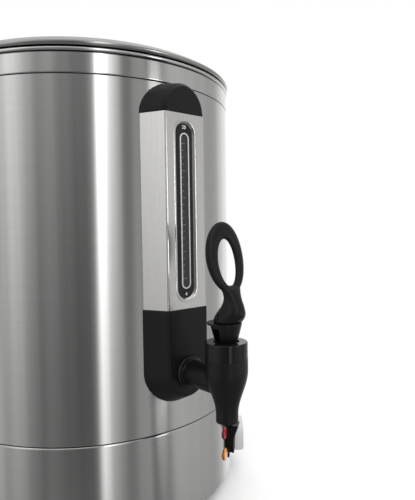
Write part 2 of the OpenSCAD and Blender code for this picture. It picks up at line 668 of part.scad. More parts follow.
// Elbow from the top of the sight tube through drum and tank
module vent_elbow() color([0.1, 0.1, 0.1]) difference() {
  union() {
    translate([0, tube_y, vent_z - 13]) cylinder(r = socket_r, h = 19.5);
    front_rod(vent_r, tank_in - 14, -tube_y, vent_z);
  }
  translate([0, tube_y, vent_z - 14]) cylinder(r = 2.7, h = 14.6);
  translate([0, tube_y, vent_z - 14]) cylinder(r = tube_r + hole_gap, h = tube_top - vent_z + 14);
  translate([0, tube_y, vent_z - 14]) cylinder(r = tube_seal_r, h = 6);
  front_rod(2.3, tank_in - 15, -tube_y + 1.4, vent_z);
}

module vent_nut() color([0.6, 0.6, 0.6]) difference() {
  translate([0, -tank_in + 0.7, vent_z]) rotate([-90, 0, 0]) cylinder(r = 9, h = 5, $fn = 6);
  front_rod(vent_r + run, tank_in - 8, tank_in, vent_z);
}

// Tap body: spout, bowl swelling in an even wave, chamber and horizontal tail into the tank
module tap_body() color([0.05, 0.05, 0.05]) difference() {
  union() {
    translate([0, tap_y, 0]) rotate_extrude() polygon(concat([[0, spout_z], [spout_r, spout_z]],
      [for (i = [0:16]) [(tap_r + spout_r - (tap_r - spout_r) * cos(180 * i / 16)) / 2,
        bowl_z0 + (bowl_z1 - bowl_z0) * i / 16]],
      [[tap_r, body_top_z], [neck_r, body_top_z], [neck_r, body_top_z + neck_h], [0, body_top_z + neck_h]]));
    front_rod(tail_r, body_r - 22, -tap_y - 8, tail_z);
  }
  translate([0, tap_y, spout_z - eps]) cylinder(r = outlet_r, h = seat_z - spout_z + 2 * eps);
  translate([0, tap_y, seat_z]) cylinder(r = chamber_r, h = 60);
  front_rod(tap_bore_r, body_r - 23, -tap_y - 9, tail_z);
  translate([0, tube_y, tail_z]) cylinder(r = 2.5, h = 20);
}

module tail_escutcheon() color([0.04, 0.04, 0.04]) difference() {
  translate([0, -col_front - cap_lip - 0.1, tail_z]) rotate([90, 0, 0]) rotate_extrude()
    polygon(concat([[0, 0], [tail_r + 3.2, 0]], arc(tail_r + 1.6, 1.6, 1.6, 0, 90, 5),
      [[tail_r + 1.3, 3.2]], arc(tail_r + 0.6, 4.8, 0.7, 0, 90, 4), [[0, 5.5]]));
  front_rod(tail_r + 0.1, col_front - 1, col_front + 9, tail_z);
}

// Saddle washers outside the drum and inside the tank
module tail_washers() color([0.5, 0.12, 0.1]) {
  difference() {
    front_rod(washer_r - 1, body_r - 3, body_r + 2.6, tail_z);
    translate([0, 0, tail_z - 20]) cylinder(r = body_r + 0.05, h = 40);
    front_rod(tail_r + 0.1, body_r - 4, body_r + 4, tail_z);
  }
  difference() {
    intersection() {
      front_rod(washer_r, tank_in - 3.5, tank_in + 2, tail_z);
      translate([0, 0, tail_z - 20]) cylinder(r = tank_in - 0.05, h = 40);
    }
    front_rod(tail_r + 0.1, tank_in - 5, tank_in + 3, tail_z);
  }
}

// Distance ring filling the jacket between tank and drum
module wall_spacer() color([0.85, 0.85, 0.83]) difference() {
  intersection() {
    front_rod(washer_r, tank_out - 4, body_r, tail_z);
    translate([0, 0, tail_z - 20]) cylinder(r = shell_in - 0.05, h = 40);
  }
  translate([0, 0, tail_z - 21]) cylinder(r = tank_out + 0.05, h = 42);
  front_rod(tail_r + 0.1, tank_out - 5, body_r + 1, tail_z);
}

module tail_nut() color([0.7, 0.55, 0.3]) difference() {
  translate([0, -tank_in + 3.6, tail_z]) rotate([-90, 0, 0]) cylinder(r = nut_r, h = 8, $fn = 6);
  front_rod(tail_r + run, tank_in - 14, tank_in, tail_z);
}

// Ribbed bonnet screwed over the neck of the tap body
module tap_bonnet() color([0.05, 0.05, 0.05]) translate([0, tap_y, 0]) difference() {
  rotate_extrude() polygon(concat([[0, body_top_z], [bonnet_r, body_top_z]],
    arc(bonnet_r - 0.9, bonnet_top - 0.9, 0.9, 0, 90, 4), [[0, bonnet_top]]));
  ring_of(12, bonnet_r + 0.25, 5) translate([0, 0, body_top_z - eps]) cylinder(r = 0.7, h = 20);
  translate([0, 0, body_top_z - eps]) cylinder(r = neck_r + run, h = neck_h + 0.2 + eps);
  translate([0, 0, body_top_z]) cylinder(r = 12, h = bonnet_under - body_top_z);
  translate([0, 0, body_top_z]) cylinder(r = stem_r + run, h = 30);
  translate([0, 0, saddle_z]) cylinder(r = saddle_r + run, h = 10);
  translate([0, 0, bonnet_top - 1.3]) cylinder(r = saddle_r + 2.2, h = 10);
}

// Fixed saddle the lever's toe rolls on: cup, set-back flange and side slots
module tap_saddle() color([0.05, 0.05, 0.05]) translate([0, tap_y, 0]) difference() {
  union() {
    rotate_extrude() polygon(concat([[0, saddle_z], [saddle_r, saddle_z]],
      [for (i = [0:6]) [saddle_r + cup_flare * pow(i / 6, 0.85),
        bonnet_top - 1 + (saddle_top - flange_t - bonnet_top + 1) * i / 6]],
      [[saddle_r + cup_flare, saddle_top], [0, saddle_top]]));
    translate([0, 2, saddle_top - flange_t]) cylinder(r = 14, h = flange_t);
  }
  for (s = [-1, 1]) translate([s * 15, -3.75, saddle_z + 2.8]) translate([s > 0 ? -9.6 : -10.4, 0, 0])
    cube([20, 7.5, 11]);
  translate([0, 0, saddle_z - eps]) cylinder(r = stem_r + run, h = 30);
}

module valve_stem() color([0.6, 0.6, 0.6]) translate([0, tap_y, 0]) difference() {
  union() {
    translate([0, 0, seat_z + seal_t]) cylinder(r = seal_r, h = holder_t);
    translate([0, 0, seat_z + seal_t]) cylinder(r = stem_r, h = pin_z + 4 - seat_z - seal_t);
  }
  translate([0, 0, pin_z]) rotate([0, 90, 0]) cylinder(r = pin_r + run, h = 20, center = true);
}

module valve_seal() color([0.5, 0.12, 0.1])
  translate([0, tap_y, seat_z]) cylinder(r = seal_r, h = seal_t);

// Closing spring: one round wire wound from the seal holder up to the bonnet
spring_z0 = seat_z + seal_t + holder_t + spring_wire_r;
spring_z1 = bonnet_under - spring_wire_r;
spring_pitch = (spring_z1 - spring_z0) / spring_turns;
spring_n = spring_turns * 8;
module valve_spring() color([0.6, 0.6, 0.6]) translate([0, tap_y, 0]) polyhedron(
  points = [for (i = [0:spring_n]) for (k = [0:5])
    let (a = 45 * i, q = spring_r + spring_wire_r * cos(60 * k))
    [q * cos(a), q * sin(a), spring_z0 + spring_pitch * i / 8 + spring_wire_r * sin(60 * k)]],
  faces = concat(
    [for (i = [0:spring_n - 1]) for (k = [0:5]) [6 * i + k, 6 * i + 6 + k, 6 * i + (k + 1) % 6]],
    [for (i = [0:spring_n - 1]) for (k = [0:5]) [6 * i + 6 + k, 6 * i + 6 + (k + 1) % 6, 6 * i + (k + 1) % 6]],
    [for (k = [1:4]) [0, k, k + 1]],
    [for (k = [1:4]) [6 * spring_n, 6 * spring_n + k + 1, 6 * spring_n + k]]));
echo(spring_gap = spring_pitch - 2 * spring_wire_r);

module lever_pin() color([0.6, 0.6, 0.6])
  translate([0, tap_y, pin_z]) rotate([0, 90, 0]) cylinder(r = pin_r, h = 21, center = true);

// Bell of the lever: rows of [height over the pin, centre in Y, half width X, half depth Y]
bell_rows = [[-saddle_gap_z, -1.5, 10.6, 12.2], [1 - saddle_gap_z, -2, 11, 12.7], [-1.8, -4, 11, 13.2],
  [0.5, -5.2, 10.7, 13.2], [2.6, -6.1, 10.2, 12.8], [5.5, -7.3, 9.2, 11.2], [8.5, -8.1, 8.2, 9.4],
  [11.5, -8.2, 7.5, 7.6], [15, -7.9, 7.3, 6.2], [18.5, -6.9, 7.9, 5.6], [21, -6.2, 8.4, 5]];
bell_n = 28;
bell_m = len(bell_rows) - 1;
module lever_bell() polyhedron(
  points = concat([for (r = bell_rows) for (k = [0:bell_n - 1]) let (a = 360 * k / bell_n)
    [r[2] * cos(a), r[1] + r[3] * sin(a), r[0]]],
    [[0, bell_rows[0][1], bell_rows[0][0]], [0, bell_rows[bell_m][1], bell_rows[bell_m][0]]]),
  faces = concat(
    [for (i = [0:bell_m - 1]) for (k = [0:bell_n - 1])
      [bell_n * i + k, bell_n * i + bell_n + k, bell_n * i + (k + 1) % bell_n]],
    [for (i = [0:bell_m - 1]) for (k = [0:bell_n - 1])
      [bell_n * i + bell_n + k, bell_n * i + bell_n + (k + 1) % bell_n, bell_n * i + (k + 1) % bell_n]],
    [for (k = [0:bell_n - 1]) [k, (k + 1) % bell_n, bell_n * (bell_m + 1)]],
    [for (k = [0:bell_n - 1]) [bell_n * bell_m + (k + 1) % bell_n, bell_n * bell_m + k,
      bell_n * (bell_m + 1) + 1]]));

// Finger loop: a flat oval section carried round between an outer egg shape and an inner oval, sides set back
loop_n = 40;
loop_lean = 10.9;
function loop_out(t) = [19.3 * sin(t), 20.6 - 28.7 * cos(t)];
function loop_in(t) = [9.9 * sin(t), 15.9 - 20.2 * cos(t)];
function loop_at(u, v, w) = let (q = w - 0.006 * u * u)
  [u, -5.5 + v * sin(loop_lean) - q * cos(loop_lean), 25.7 + v * cos(loop_lean) + q * sin(loop_lean)];
module lever_loop() polyhedron(
  points = [for (i = [0:loop_n - 1]) let (t = 360 * (i + 0.5) / loop_n, o = loop_out(t), n = loop_in(t))
    for (k = [0:11]) let (c = (1 + cos(30 * k)) / 2, p = n + (o - n) * c)
    loop_at(p[0], p[1], 2.9 * sin(30 * k))],
  faces = concat(
    [for (i = [0:loop_n - 1]) for (k = [0:11]) let (j = (i + 1) % loop_n, m = (k + 1) % 12)
      [12 * i + k, 12 * i + m, 12 * j + k]],
    [for (i = [0:loop_n - 1]) for (k = [0:11]) let (j = (i + 1) % loop_n, m = (k + 1) % 12)
      [12 * j + k, 12 * i + m, 12 * j + m]]));

// Rolling toe: lift grows evenly with the turn, a fixed gap is kept to the saddle, and the chin beyond it
// leans back by the whole turn
function cam_pt(a) = let (h = saddle_gap_z + cam_lift * a * PI / 180)
  [-h * sin(a) - cam_lift * cos(a), -h * cos(a) + cam_lift * sin(a)];

module lever_side(hw, pts) translate([-hw, 0, 0]) rotate([90, 0, 90]) linear_extrude(2 * hw) polygon(pts);

module lever() color([0.05, 0.05, 0.05]) translate([0, tap_y, pin_z]) difference() {
  union() {
    lever_bell();
    lever_loop();
  }
  lever_side(20, concat([for (i = [0:8]) cam_pt(lever_open * i / 8)],
    [[-24, cam_pt(lever_open)[1] + (24 + cam_pt(lever_open)[0]) * tan(lever_open)], [-24, -20],
    [cam_pt(0)[0], -20]]));
  lever_side(stem_r + 0.3, concat([[4.4, -14], [4.4, -3.9]], arc(0, 0, 5.9, -41, 223 - lever_open, 14),
    [[-16, -14]]));
  rotate([0, 90, 0]) cylinder(r = pin_r + run, h = 40, center = true);
}

// Side handle: a bail with a finger gap, saddled to the drum
module handle(s) color([0.04, 0.04, 0.04]) difference() {
  rotate([0, 0, s * handle_az]) translate([0, 0, handle_z - handle_h / 2]) linear_extrude(handle_h)
    difference() {
      polygon([for (p = concat([[-handle_hw, -9], [handle_hw, -9]], arc(handle_hw - 12, handle_out - 12, 12, 0, 90),
        arc(12 - handle_hw, handle_out - 12, 12, 90, 180))) [p[0], -body_r - p[1]]]);
      polygon([for (p = concat(arc(finger_hw - 6, finger_in + 6, 6, -90, 0),
        arc(finger_hw - 6, finger_out - 6, 6, 0, 90), arc(6 - finger_hw, finger_out - 6, 6, 90, 180),
        arc(6 - finger_hw, finger_in + 6, 6, 180, 270))) [p[0], -body_r - p[1]]]);
    }
  translate([0, 0, handle_z - handle_h]) cylinder(r = body_r + 0.1, h = 2 * handle_h);
  for (t = [-1, 1]) on_drum(s * handle_az + t * handle_screw_az, handle_z)
    translate([0, 0, -5]) cylinder(r = screw_r + run, h = 20);
}
module left_handle() handle(-1);
module right_handle() handle(1);

module handle_screw_places() {
  for (s = [-1, 1]) for (t = [-1, 1]) on_drum(s * handle_az + t * handle_screw_az, handle_z) children();
}

module handle_screws() color([0.6, 0.6, 0.6]) handle_screw_places() {
  translate([0, 0, -shell_t - 2.5]) cylinder(r = 3.8, h = 2.4);
  translate([0, 0, -shell_t - 0.1]) cylinder(r = screw_r, h = shell_t + 14);
}

body_shell();
rim_collar();
inner_tank();
lid_shell();
lid_knob();
lid_screw();
base_skirt();
base_plate();
feet();
foot_screws();
foot_nuts();
base_screws();
seam_screws();
heating_element();
element_bushes();
element_seals();
element_nuts();
thermostat();
thermostat_nut();
thermostat_shaft();
thermostat_knob();
thermostat_bulb();
bulb_clip();
thermal_cutout();
reset_button();
rocker_housing();
rocker();
lamp_holders();
red_lens();
amber_lens();
terminal_block();
cable_gland();
gland_nut();
gauge_column();
gauge_top_cap();
gauge_bottom_housing();
gauge_plate();
gauge_trim();
gauge_window();
sight_tube();
tube_seals();
gauge_tee();
vent_elbow();
vent_nut();
tap_body();
tail_escutcheon();
tail_washers();
wall_spacer();
tail_nut();
tap_bonnet();
tap_saddle();
valve_stem();
valve_seal();
valve_spring();
lever_pin();
lever();
left_handle();
right_handle();
handle_screws();
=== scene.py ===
import json
import math
import bpy
import numpy as np
from mathutils import Matrix, Vector


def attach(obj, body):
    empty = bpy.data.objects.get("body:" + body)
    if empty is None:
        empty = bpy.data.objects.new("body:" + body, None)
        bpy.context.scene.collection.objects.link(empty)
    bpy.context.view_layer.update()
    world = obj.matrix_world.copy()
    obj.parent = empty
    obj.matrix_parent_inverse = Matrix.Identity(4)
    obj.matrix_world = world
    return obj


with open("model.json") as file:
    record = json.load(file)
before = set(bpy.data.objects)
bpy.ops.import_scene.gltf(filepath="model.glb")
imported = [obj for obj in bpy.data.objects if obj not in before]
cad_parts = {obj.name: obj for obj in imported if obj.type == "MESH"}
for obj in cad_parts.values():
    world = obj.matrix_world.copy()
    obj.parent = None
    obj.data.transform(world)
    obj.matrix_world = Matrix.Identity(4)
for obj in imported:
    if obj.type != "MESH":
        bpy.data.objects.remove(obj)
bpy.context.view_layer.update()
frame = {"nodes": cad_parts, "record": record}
nodes = frame["nodes"]
print("stage: frame loaded", len(nodes))

# Sizes in the dictionaries are in millimetres, unless their comment says metres
milli = 0.001
sharpAngle = 38.0
drumRadius = 0.150

# Mesh helpers

def finishMesh(name, verts, faces):
    mesh = bpy.data.meshes.new(name)
    mesh.from_pydata(np.asarray(verts, float).tolist(), [], faces)
    mesh.update()
    mesh.polygons.foreach_set("use_smooth", np.ones(len(mesh.polygons), bool))
    mesh.set_sharp_from_angle(angle=math.radians(sharpAngle))
    piece = bpy.data.objects.new(name, mesh)
    bpy.context.scene.collection.objects.link(piece)
    return piece


# A grid of points becomes quads between neighbouring rows and columns. The columns close on themselves,
# and the rows do if asked to.
def gridFaces(rows, cols, wrapRows, offset=0):
    index = np.arange(rows * cols).reshape(rows, cols) + offset
    below = index if wrapRows else index[:-1]
    above = np.roll(index, -1, 0) if wrapRows else index[1:]
    corners = [below, np.roll(below, -1, 1), np.roll(above, -1, 1), above]
    return np.stack(corners, -1).reshape(-1, 4).tolist()


def gridPiece(name, grid):
    return finishMesh(name, grid.reshape(-1, 3), gridFaces(*grid.shape[:2], True))


# A closed profile of points (distance from the axis, height) turned round the vertical axis
def turnedRing(name, profile, count=192):
    reach, height = np.asarray(profile).T[:, :, None] * milli
    angle = np.linspace(0, 2 * np.pi, count, endpoint=False)
    grid = np.stack([reach * np.cos(angle), reach * np.sin(angle), height + 0 * angle], -1)
    return gridPiece(name, grid)


# A finished piece gets its look, the body it rides on and its material slot
def polish(piece, body, material):
    piece.data.materials.clear()
    piece.data.materials.append(material)
    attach(piece, body)
    return piece


# A place on the drum's wall: local X along the surface, local Y up, local Z outwards
def onDrum(bearing, height):
    aboutAxis = Matrix.Rotation(math.radians(bearing), 4, "Z")
    toWall = Matrix.Translation((0, -drumRadius, height * milli))
    return aboutAxis @ toWall @ Matrix.Rotation(math.radians(90), 4, "X")


# Rounded edges: a bevel of the given width on every edge that turns by more than the angle
def soften(piece, width, angle=30.0):
    bevel = piece.modifiers.new("edges", "BEVEL")
    bevel.width = width * milli
    bevel.segments = 3
    bevel.limit_method = "ANGLE"
    bevel.angle_limit = math.radians(angle)
    bevel.harden_normals = True
    bevel.use_clamp_overlap = True


# A fine even mesh laid over the solid and relaxed a few rounds, so that creases close and edges turn soft
def melt(piece, voxel, rounds):
    skin = piece.modifiers.new("skin", "REMESH")
    skin.mode = "VOXEL"
    skin.voxel_size = voxel * milli
    skin.use_smooth_shade = True
    relax = piece.modifiers.new("relax", "SMOOTH")
    relax.factor = 0.5
    relax.iterations = rounds


# Material helpers

def grey(tone):
    return (tone, tone, tone, 1.0)


def newMaterial(name):
    material = bpy.data.materials.new(name)
    material.use_nodes = True
    tree = material.node_tree
    shader = next(n for n in tree.nodes if n.type == "BSDF_PRINCIPLED")
    return material, tree, shader


def mathNode(tree, operation, first, second=None, clamp=False):
    node = tree.nodes.new("ShaderNodeMath")
    node.operation = operation
    node.use_clamp = clamp
    for socket, value in zip(node.inputs, (first, second)):
        if isinstance(value, bpy.types.NodeSocket):
            tree.links.new(value, socket)
        elif value is not None:
            socket.default_value = value
    return node.outputs[0]


# Climbs from 0 to 1 while the value runs from the start over the span, downwards if the span is negative
def climb(tree, value, start, span):
    return mathNode(tree, "DIVIDE", mathNode(tree, "SUBTRACT", value, start), span, True)


def product(tree, first, *others):
    result = first
    for value in others:
        result = mathNode(tree, "MULTIPLY", result, value)
    return result


def mixColours(tree, factor, first, second):
    node = tree.nodes.new("ShaderNodeMix")
    node.data_type = "RGBA"
    sockets = (node.inputs[0], node.inputs[6], node.inputs[7])
    for socket, value in zip(sockets, (factor, first, second)):
        if isinstance(value, bpy.types.NodeSocket):
            tree.links.new(value, socket)
        else:
            socket.default_value = value
    return node.outputs[2]


def noiseNode(tree, vector, scale, detail=2.0, roughness=0.5):
    node = tree.nodes.new("ShaderNodeTexNoise")
    node.inputs["Scale"].default_value = scale
    node.inputs["Detail"].default_value = detail
    node.inputs["Roughness"].default_value = roughness
    tree.links.new(vector, node.inputs["Vector"])
    return node.outputs["Fac"]


def joinAxes(tree, *values):
    node = tree.nodes.new("ShaderNodeCombineXYZ")
    for socket, value in zip(node.inputs, values):
        tree.links.new(value, socket)
    return node.outputs[0]


def splitAxes(tree, vector):
    node = tree.nodes.new("ShaderNodeSeparateXYZ")
    tree.links.new(vector, node.inputs[0])
    return node.outputs


def vectorNode(tree, operation, *values):
    node = tree.nodes.new("ShaderNodeVectorMath")
    node.operation = operation
    for socket, value in zip(node.inputs, values):
        tree.links.new(value, socket)
    return node


def objectCoords(tree):
    return tree.nodes.new("ShaderNodeTexCoord").outputs["Object"]


# Brush marks: noise drawn out along one direction. Round marks run round the upright axis, straight ones
# follow the coordinates multiplied by the stretch. Both values swing about 0.5.
brush = {"roundScale": 1.6, "crossScale": 2600.0, "fine": (1.0, 4.0, 0.75), "broad": (0.16, 2.0, 0.5),
    "fineShare": 0.85, "broadShare": 0.15, "colourSwing": 1.6, "contrast": 2.4, "roughSwing": 0.12,
    "shineTurn": 0.25}
brushGroup = bpy.data.node_groups.new("brushMarks", "ShaderNodeTree")
brushGroup.interface.new_socket("Round", in_out="INPUT", socket_type="NodeSocketFloat")
brushGroup.interface.new_socket("Stretch", in_out="INPUT", socket_type="NodeSocketVector")
brushGroup.interface.new_socket("Fine", in_out="OUTPUT", socket_type="NodeSocketFloat")
brushGroup.interface.new_socket("Broad", in_out="OUTPUT", socket_type="NodeSocketFloat")
groupIn = brushGroup.nodes.new("NodeGroupInput")
groupOut = brushGroup.nodes.new("NodeGroupOutput")
coords = objectCoords(brushGroup)
split = splitAxes(brushGroup, coords)
bearing = mathNode(brushGroup, "ARCTAN2", split[0], split[1])
reach = vectorNode(brushGroup, "LENGTH", joinAxes(brushGroup, split[0], split[1])).outputs["Value"]
wrapped = joinAxes(brushGroup, product(brushGroup, bearing, brush["roundScale"]),
    product(brushGroup, split[2], brush["crossScale"]), product(brushGroup, reach, brush["crossScale"]))
stretched = vectorNode(brushGroup, "MULTIPLY", coords, groupIn.outputs["Stretch"]).outputs[0]
pick = brushGroup.nodes.new("ShaderNodeMix")
pick.data_type = "VECTOR"
brushGroup.links.new(groupIn.outputs["Round"], pick.inputs[0])
brushGroup.links.new(stretched, pick.inputs[4])
brushGroup.links.new(wrapped, pick.inputs[5])
brushGroup.links.new(noiseNode(brushGroup, pick.outputs[1], *brush["fine"]), groupOut.inputs["Fine"])
brushGroup.links.new(noiseNode(brushGroup, pick.outputs[1], *brush["broad"]), groupOut.inputs["Broad"])


# Steel: brush marks vary colour and roughness a little, and the shine may be drawn out across the marks.
# Without a stretch the marks are round ones.
def steel(name, colour, rough, depth=0.10, drawn=0.0, stretch=None):
    material, tree, shader = newMaterial(name)
    marks = tree.nodes.new("ShaderNodeGroup")
    marks.node_tree = brushGroup
    marks.inputs["Round"].default_value = 1.0 if stretch is None else 0.0
    if stretch is not None:
        marks.inputs["Stretch"].default_value = stretch
    fine = product(tree, marks.outputs["Fine"], brush["fineShare"])
    broad = product(tree, marks.outputs["Broad"], brush["broadShare"])
    swing = mathNode(tree, "SUBTRACT", mathNode(tree, "ADD", fine, broad), 0.5)
    colourSwing = brush["colourSwing"] * depth
    dark = tuple(c * (1 - colourSwing) for c in colour) + (1.0,)
    light = tuple(min(1.0, c * (1 + colourSwing)) for c in colour) + (1.0,)
    lightShare = mathNode(tree, "ADD", product(tree, swing, brush["contrast"]), 0.5, True)
    tree.links.new(mixColours(tree, lightShare, dark, light), shader.inputs["Base Color"])
    roughSwing = product(tree, swing, rough * brush["roughSwing"])
    tree.links.new(mathNode(tree, "ADD", roughSwing, rough, True), shader.inputs["Roughness"])
    shader.inputs["Metallic"].default_value = 1.0
    if drawn > 0:
        shader.inputs["Anisotropic"].default_value = drawn
        shader.inputs["Anisotropic Rotation"].default_value = brush["shineTurn"]
        tangent = tree.nodes.new("ShaderNodeTangent")
        tangent.direction_type = "RADIAL"
        tangent.axis = "Z"
        tree.links.new(tangent.outputs[0], shader.inputs["Tangent"])
    return material


# Painted shade: between two heights in metres, with soft ends, the steel is painted nearly black where shade
# falls in a gap
def paintedShade(material, low, high, soft):
    tree = material.node_tree
    shader = next(n for n in tree.nodes if n.type == "BSDF_PRINCIPLED")
    height = splitAxes(tree, objectCoords(tree))[2]
    inside = product(tree, climb(tree, height, high, -soft), climb(tree, height, low, soft))
    colour = shader.inputs["Base Color"].links[0].from_socket
    tree.links.new(mixColours(tree, inside, colour, grey(0.02)), shader.inputs["Base Color"])


# Moulded plastic: fine grain in the normal, its height in metres, and a slow change of shine
mould = {"slowScale": 60.0, "slowDetail": 3.0, "roughSwing": 0.14, "grainScale": 2600.0,
    "grainHeight": 0.0002}


def plastic(name, colour, rough, grain=0.0, coat=0.0, shine=0.5):
    material, tree, shader = newMaterial(name)
    shader.inputs["Specular IOR Level"].default_value = shine
    shader.inputs["Base Color"].default_value = tuple(colour) + (1.0,)
    shader.inputs["Coat Weight"].default_value = coat
    coords = objectCoords(tree)
    slow = noiseNode(tree, coords, mould["slowScale"], mould["slowDetail"])
    roughSwing = product(tree, mathNode(tree, "SUBTRACT", slow, 0.5), mould["roughSwing"])
    tree.links.new(mathNode(tree, "ADD", roughSwing, rough, True), shader.inputs["Roughness"])
    if grain > 0:
        bump = tree.nodes.new("ShaderNodeBump")
        bump.inputs["Strength"].default_value = grain
        bump.inputs["Distance"].default_value = mould["grainHeight"]
        tree.links.new(noiseNode(tree, coords, mould["grainScale"]), bump.inputs["Height"])
        tree.links.new(bump.outputs[0], shader.inputs["Normal"])
    return material


def clear(name, colour, rough, transmission, ior=1.48):
    material, tree, shader = newMaterial(name)
    shader.inputs["Base Color"].default_value = tuple(colour) + (1.0,)
    shader.inputs["Roughness"].default_value = rough
    shader.inputs["Transmission Weight"].default_value = transmission
    shader.inputs["IOR"].default_value = ior
    return material


# Looks of the material slots

deepBlack = (0.0055, 0.0055, 0.0057)
evenMarks = (300.0, 300.0, 300.0)
drumSteel = steel("drumSteel", (0.60, 0.596, 0.588), 0.20, 0.03, drawn=0.94)
collarSteel = steel("collarSteel", (0.62, 0.616, 0.608), 0.19, 0.018, drawn=0.9)
tankSteel = steel("tankSteel", (0.70, 0.695, 0.685), 0.22, 0.05, drawn=0.4)
lidSteel = steel("lidSteel", (0.43, 0.427, 0.42), 0.26, 0.06, drawn=0.6)
# Painted shade under the lid's rolled edge, at the lower and upper edge of the collar, and in the joint of
# drum and skirt
paintedShade(lidSteel, 0.4286, 0.4304, 0.0005)
paintedShade(collarSteel, 0.4060, 0.4080, 0.0003)
paintedShade(collarSteel, 0.4239, 0.4262, 0.0008)
paintedShade(drumSteel, 0.0962, 0.0975, 0.0003)
columnSteel = steel("columnSteel", (0.70, 0.692, 0.675), 0.19, 0.03, stretch=(2600.0, 60.0, 30.0))
sheetSteel = steel("sheetSteel", (0.5, 0.5, 0.49), 0.35, 0.08, stretch=(60.0, 900.0, 60.0))
screwSteel = steel("screwSteel", (0.55, 0.55, 0.54), 0.3, 0.08, stretch=evenMarks)
pinSteel = steel("pinSteel", (0.05, 0.05, 0.05), 0.4, 0.08, stretch=evenMarks)
elementSteel = steel("elementSteel", (0.48, 0.45, 0.41), 0.38, stretch=(200.0, 200.0, 200.0))
brassMetal = steel("brassMetal", (0.70, 0.51, 0.24), 0.3, stretch=evenMarks)
copperMetal = steel("copperMetal", (0.72, 0.40, 0.25), 0.3, stretch=evenMarks)
blackSatin = plastic("blackSatin", deepBlack, 0.40, grain=0.10, shine=0.24)
tapBlack = plastic("tapBlack", deepBlack, 0.38, grain=0.05, shine=0.25)
bonnetBlack = plastic("bonnetBlack", deepBlack, 0.16, shine=0.34)
innerBlack = plastic("innerBlack", (0.05, 0.05, 0.05), 0.5)
scaleBlack = plastic("scaleBlack", (0.008, 0.008, 0.0085), 0.28, shine=0.30)
trimGrey = plastic("trimGrey", (0.55, 0.55, 0.55), 0.3)
markGrey = plastic("markGrey", (0.16, 0.16, 0.16), 0.5)
markWhite = plastic("markWhite", (0.80, 0.80, 0.79), 0.5)
knobSilver = plastic("knobSilver", (0.66, 0.66, 0.665), 0.32)
palePlastic = plastic("palePlastic", (0.75, 0.74, 0.7), 0.45)
sealRubber = plastic("sealRubber", (0.33, 0.07, 0.05), 0.6)
footRubber = plastic("footRubber", (0.02, 0.02, 0.02), 0.7)
redLens = plastic("redLens", (0.26, 0.010, 0.012), 0.14, coat=0.4)
amberLens = plastic("amberLens", (0.58, 0.22, 0.02), 0.14, coat=0.4)
smokedGlass = clear("smokedGlass", (0.035, 0.036, 0.038), 0.10, 0.35)
tubeGlass = clear("tubeGlass", (0.92, 0.95, 0.95), 0.02, 1.0)
slotLooks = {"drum_steel": drumSteel, "collar_steel": collarSteel, "tank_steel": tankSteel,
    "lid_steel": lidSteel, "plate_steel": sheetSteel, "column_steel": columnSteel,
    "fastener_steel": screwSteel, "element_steel": elementSteel, "brass_parts": brassMetal,
    "copper_tube": copperMetal, "black_plastic": blackSatin, "tap_black": tapBlack,
    "inner_plastic": innerBlack, "scale_black": scaleBlack, "trim_grey": trimGrey,
    "window_glass": smokedGlass, "tube_glass": tubeGlass, "knob_silver": knobSilver,
    "red_plastic": redLens, "amber_plastic": amberLens, "pale_plastic": palePlastic,
    "seal_rubber": sealRubber, "foot_rubber": footRubber}
for row in frame["record"]["subparts"]:
    part = nodes[row["node"]]
    part.data.materials.clear()
    part.data.materials.append(slotLooks[row["material_slot"]])
nodes["tap_bonnet"].data.materials[0] = bonnetBlack
nodes["tail_escutcheon"].data.materials[0] = bonnetBlack
nodes["lever_pin"].data.materials[0] = pinSteel
print("stage: materials", len(bpy.data.materials))

# Moulded pieces: mesh width and rounds for those with soft joints, bevel width for those with soft edges

softPieces = {"lever": (0.42, 30), "gauge_top_cap": (0.55, 8), "gauge_bottom_housing": (0.7, 5),
    "left_handle": (0.8, 8), "right_handle": (0.8, 8)}
edgeWidths = {"gauge_column": 0.8, "tap_bonnet": 0.2, "tap_body": 0.4, "tap_saddle": 0.35, "rocker": 0.5,
    "rocker_housing": 0.6, "thermostat_knob": 0.25, "cable_gland": 0.5, "gland_nut": 0.4, "lid_knob": 0.5,
    "feet": 0.8, "terminal_block": 0.4, "thermostat": 0.5, "vent_nut": 0.4, "tail_nut": 0.4}
for name, (voxel, rounds) in softPieces.items():
    melt(nodes[name], voxel, rounds)
for name, width in edgeWidths.items():
    soften(nodes[name], width)

# Lever skin: the finger loop and the neck under it in one soft form, measured from the lever's pin. The loop
# is an oval section carried round between an outer and an inner egg, its sides set back. An egg is half
# width, centre and half length along the lean. The neck is a stack of ovals, each given as height, centre in
# Y, half width and half depth.
leverSkin = {"pin": (0.0, -217.5, 210.3), "lean": 10.9, "start": (-5.5, 25.7), "outer": (19.4, 20.8, 28.9),
    "inner": (9.4, 16.5, 18.9), "halfThick": 3.05, "setBack": 0.006, "loopPoints": 160, "sectionPoints": 32,
    "neckPoints": 48, "voxel": 0.42, "rounds": 24,
    "neck": ((7.0, -7.75, 8.8, 10.3), (8.5, -8.1, 8.35, 9.5), (11.5, -8.2, 7.65, 7.75),
        (15.0, -7.9, 7.45, 6.4), (18.5, -7.0, 8.1, 5.7), (21.0, -6.4, 9.2, 5.0), (22.6, -6.0, 9.4, 4.0),
        (23.6, -5.7, 8.8, 2.4), (24.0, -5.6, 7.5, 0.8))}
loopTurn = np.linspace(0, 2 * np.pi, leverSkin["loopPoints"], endpoint=False)[:, None]
sectionTurn = np.linspace(0, 2 * np.pi, leverSkin["sectionPoints"], endpoint=False)[None]
outerEgg, innerEgg = leverSkin["outer"], leverSkin["inner"]
outerShare = (1 + np.cos(sectionTurn)) / 2
outerAlong = outerEgg[1] - outerEgg[2] * np.cos(loopTurn)
innerAlong = innerEgg[1] - innerEgg[2] * np.cos(loopTurn)
loopAcross = (innerEgg[0] + (outerEgg[0] - innerEgg[0]) * outerShare) * np.sin(loopTurn)
